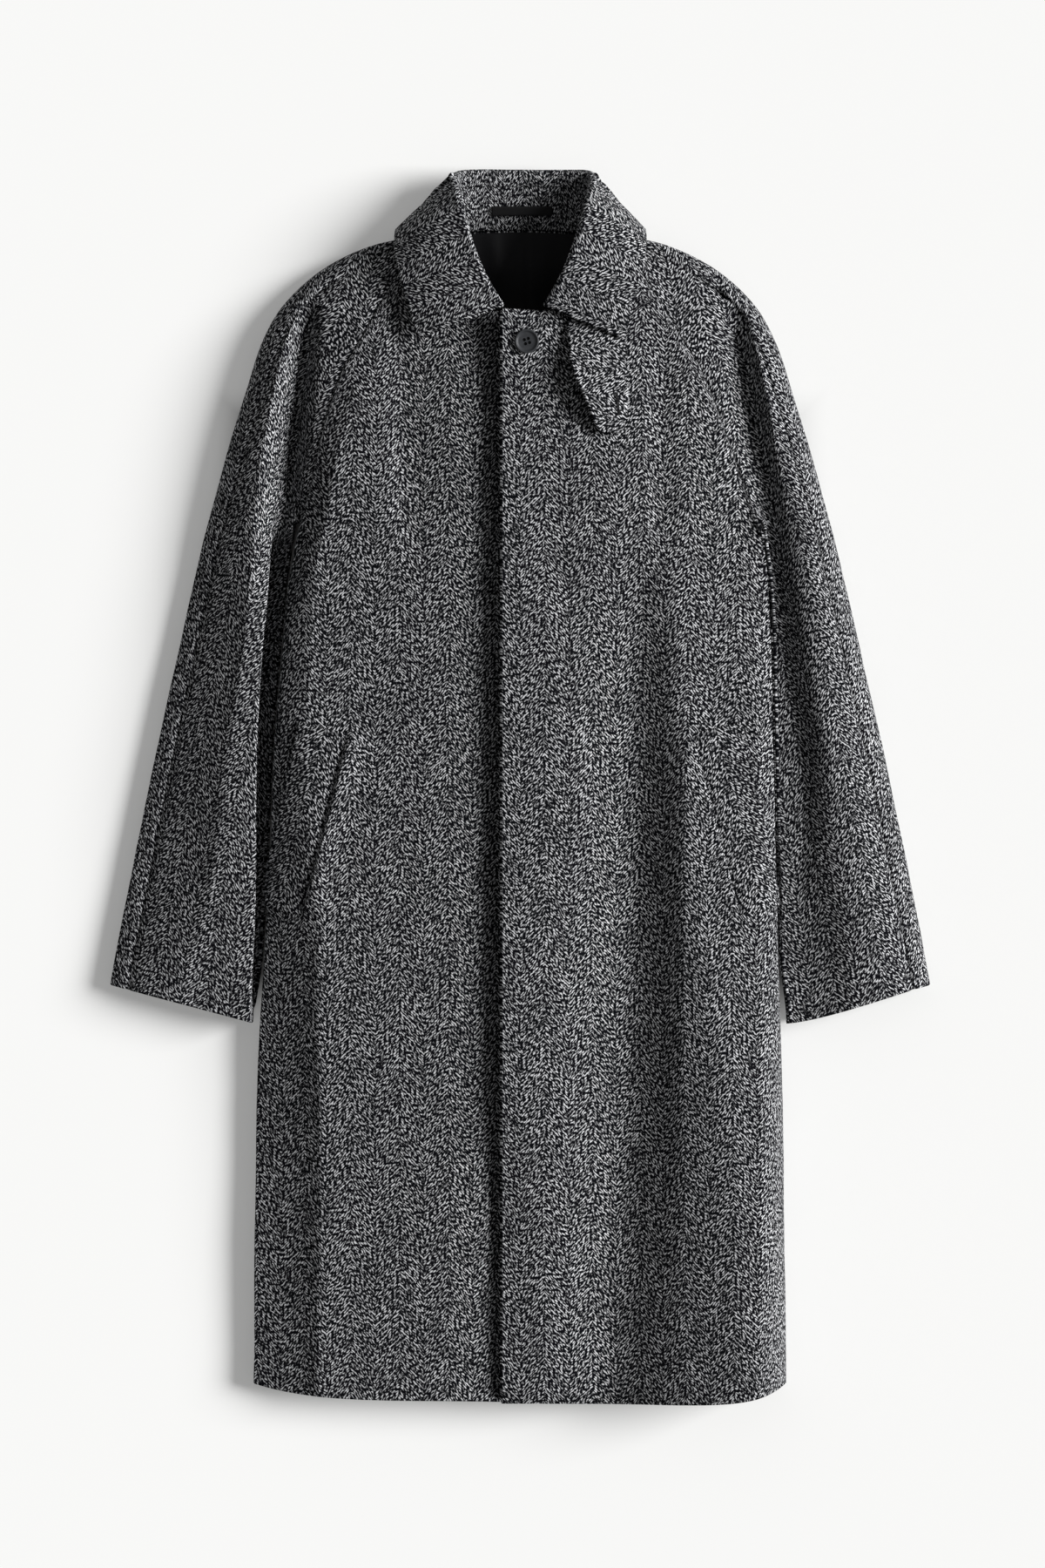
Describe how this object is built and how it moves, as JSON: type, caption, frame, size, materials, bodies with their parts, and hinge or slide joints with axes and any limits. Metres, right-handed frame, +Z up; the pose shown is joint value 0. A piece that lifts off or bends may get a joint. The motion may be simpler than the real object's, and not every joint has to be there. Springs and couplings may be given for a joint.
{
  "type": "car coat",
  "caption": "Knee-length raglan car coat in grey herringbone wool, laid on its back, with fly front, throat tab, slanted welt pockets and an open neck that shows a black lining.",
  "frame": {"origin": "middle of the coat's outline, on the surface it lies on", "axes": "+Y from the hem to the collar, +X to the viewer's right, +Z up from the surface to the coat's front"},
  "size_m": [0.754, 1.1334, 0.0669],
  "materials": {
    "wool": "napped herringbone wool",
    "lining": "black satin",
    "tape": "matte woven tape",
    "button": "matte"
  },
  "bodies": {
    "root": {"back": "wool", "front_left": "wool", "front_right": "wool", "sleeve_front_left": "wool", "sleeve_front_right": "wool", "sleeve_back_left": "wool", "sleeve_back_right": "wool", "collar_stand": "wool", "collar_fall": "wool", "throat_tab": "wool", "pocket_welt_left": "wool", "pocket_welt_right": "wool", "back_lining": "lining", "hanger_loop": "tape", "neck_button": "button"}
  },
  "joints": []
}
